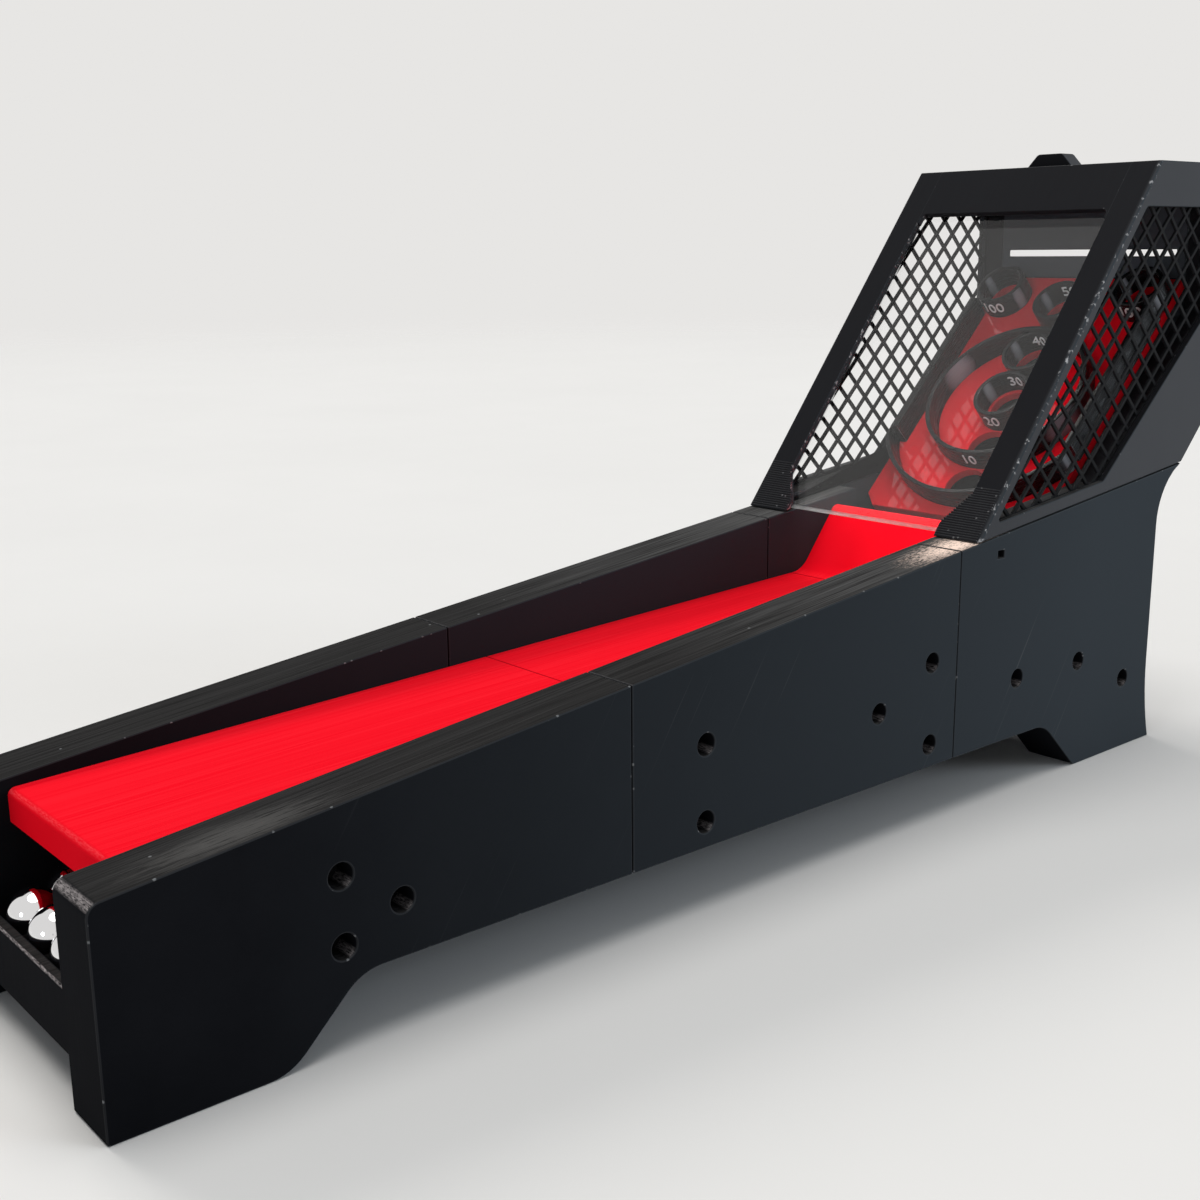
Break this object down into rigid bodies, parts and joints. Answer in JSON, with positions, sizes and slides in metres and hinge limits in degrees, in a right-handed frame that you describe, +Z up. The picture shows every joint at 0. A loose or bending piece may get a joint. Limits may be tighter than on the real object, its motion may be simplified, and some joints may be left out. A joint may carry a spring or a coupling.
{
  "type": "tabletop ball-roll game",
  "caption": "Long table-top alley game: sloped lane between side panels, launch ramp, ringed target under a lift-off mesh hood with a clear window, steel balls in a front tray.",
  "frame": {"origin": "centre of the footprint, on the table", "axes": "+Y from the player to the back, +X to the player's right, +Z up"},
  "size_m": [0.12, 0.5196, 0.2523],
  "materials": {
    "black_print": "matte, fine layer lines",
    "black_mesh": "matte",
    "black_ring": "satin",
    "red_print": "satin, fine top lines",
    "acrylic": "clear, polished",
    "ball_steel": "mirror polished",
    "screw_steel": "black oxide",
    "dowel_steel": "ground"
  },
  "bodies": {
    "cabinet": {"front_panel_right": "black_print", "front_panel_left": "black_print", "middle_panel_right": "black_print", "middle_panel_left": "black_print", "rear_panel_right": "black_print", "rear_panel_left": "black_print", "ball_tray": "black_print", "return_chute_front": "black_print", "return_chute_rear": "black_print", "catch_hopper": "black_print", "base_back": "black_print", "lane_front": "red_print", "lane_rear": "red_print", "launch_ramp": "red_print", "lane_screws": "screw_steel", "tray_screws": "screw_steel", "chute_screws": "screw_steel", "hopper_screws": "screw_steel", "seam_dowels": "dowel_steel", "ramp_pins": "dowel_steel"},
    "hood": {"hood_side_right": "black_print", "hood_side_left": "black_print", "hood_brow": "black_print", "hood_top": "black_print", "hood_back": "black_print", "lift_tab": "black_print", "mesh_right": "black_mesh", "mesh_left": "black_mesh", "lower_rail": "black_ring", "side_rail_right": "black_ring", "side_rail_left": "black_ring", "ring_large": "black_ring", "ring_small": "black_ring", "cup_forty": "black_ring", "cup_fifty": "black_ring", "cup_hundred_right": "black_ring", "cup_hundred_left": "black_ring", "target_board": "red_print", "window": "acrylic", "hood_dowels": "dowel_steel", "board_dowels": "dowel_steel"},
    "ball_1": {"ball_1": "ball_steel"},
    "ball_2": {"ball_2": "ball_steel"},
    "ball_3": {"ball_3": "ball_steel"},
    "ball_4": {"ball_4": "ball_steel"},
    "ball_5": {"ball_5": "ball_steel"},
    "ball_6": {"ball_6": "ball_steel"},
    "ball_7": {"ball_7": "ball_steel"},
    "ball_8": {"ball_8": "ball_steel"},
    "ball_9": {"ball_9": "ball_steel"}
  },
  "joints": [
    {"name": "hood_lift", "type": "slide", "parent": "cabinet", "child": "hood", "axis": [0, 0, 1], "range_m": [0, 0.08]},
    {"name": "ball_1_pick", "type": "slide", "parent": "cabinet", "child": "ball_1", "axis": [0, 0, 1], "range_m": [0, 0.012]},
    {"name": "ball_2_pick", "type": "slide", "parent": "cabinet", "child": "ball_2", "axis": [0, 0, 1], "range_m": [0, 0.012]},
    {"name": "ball_3_pick", "type": "slide", "parent": "cabinet", "child": "ball_3", "axis": [0, 0, 1], "range_m": [0, 0.012]},
    {"name": "ball_4_pick", "type": "slide", "parent": "cabinet", "child": "ball_4", "axis": [0, 0, 1], "range_m": [0, 0.012]},
    {"name": "ball_5_pick", "type": "slide", "parent": "cabinet", "child": "ball_5", "axis": [0, 0, 1], "range_m": [0, 0.012]},
    {"name": "ball_6_pick", "type": "slide", "parent": "cabinet", "child": "ball_6", "axis": [0, 0, 1], "range_m": [0, 0.012]},
    {"name": "ball_7_pick", "type": "slide", "parent": "cabinet", "child": "ball_7", "axis": [0, 0, 1], "range_m": [0, 0.012]},
    {"name": "ball_8_pick", "type": "slide", "parent": "cabinet", "child": "ball_8", "axis": [0, 0, 1], "range_m": [0, 0.012]},
    {"name": "ball_9_pick", "type": "slide", "parent": "cabinet", "child": "ball_9", "axis": [0, 0, 1], "range_m": [0, 0.012]}
  ]
}
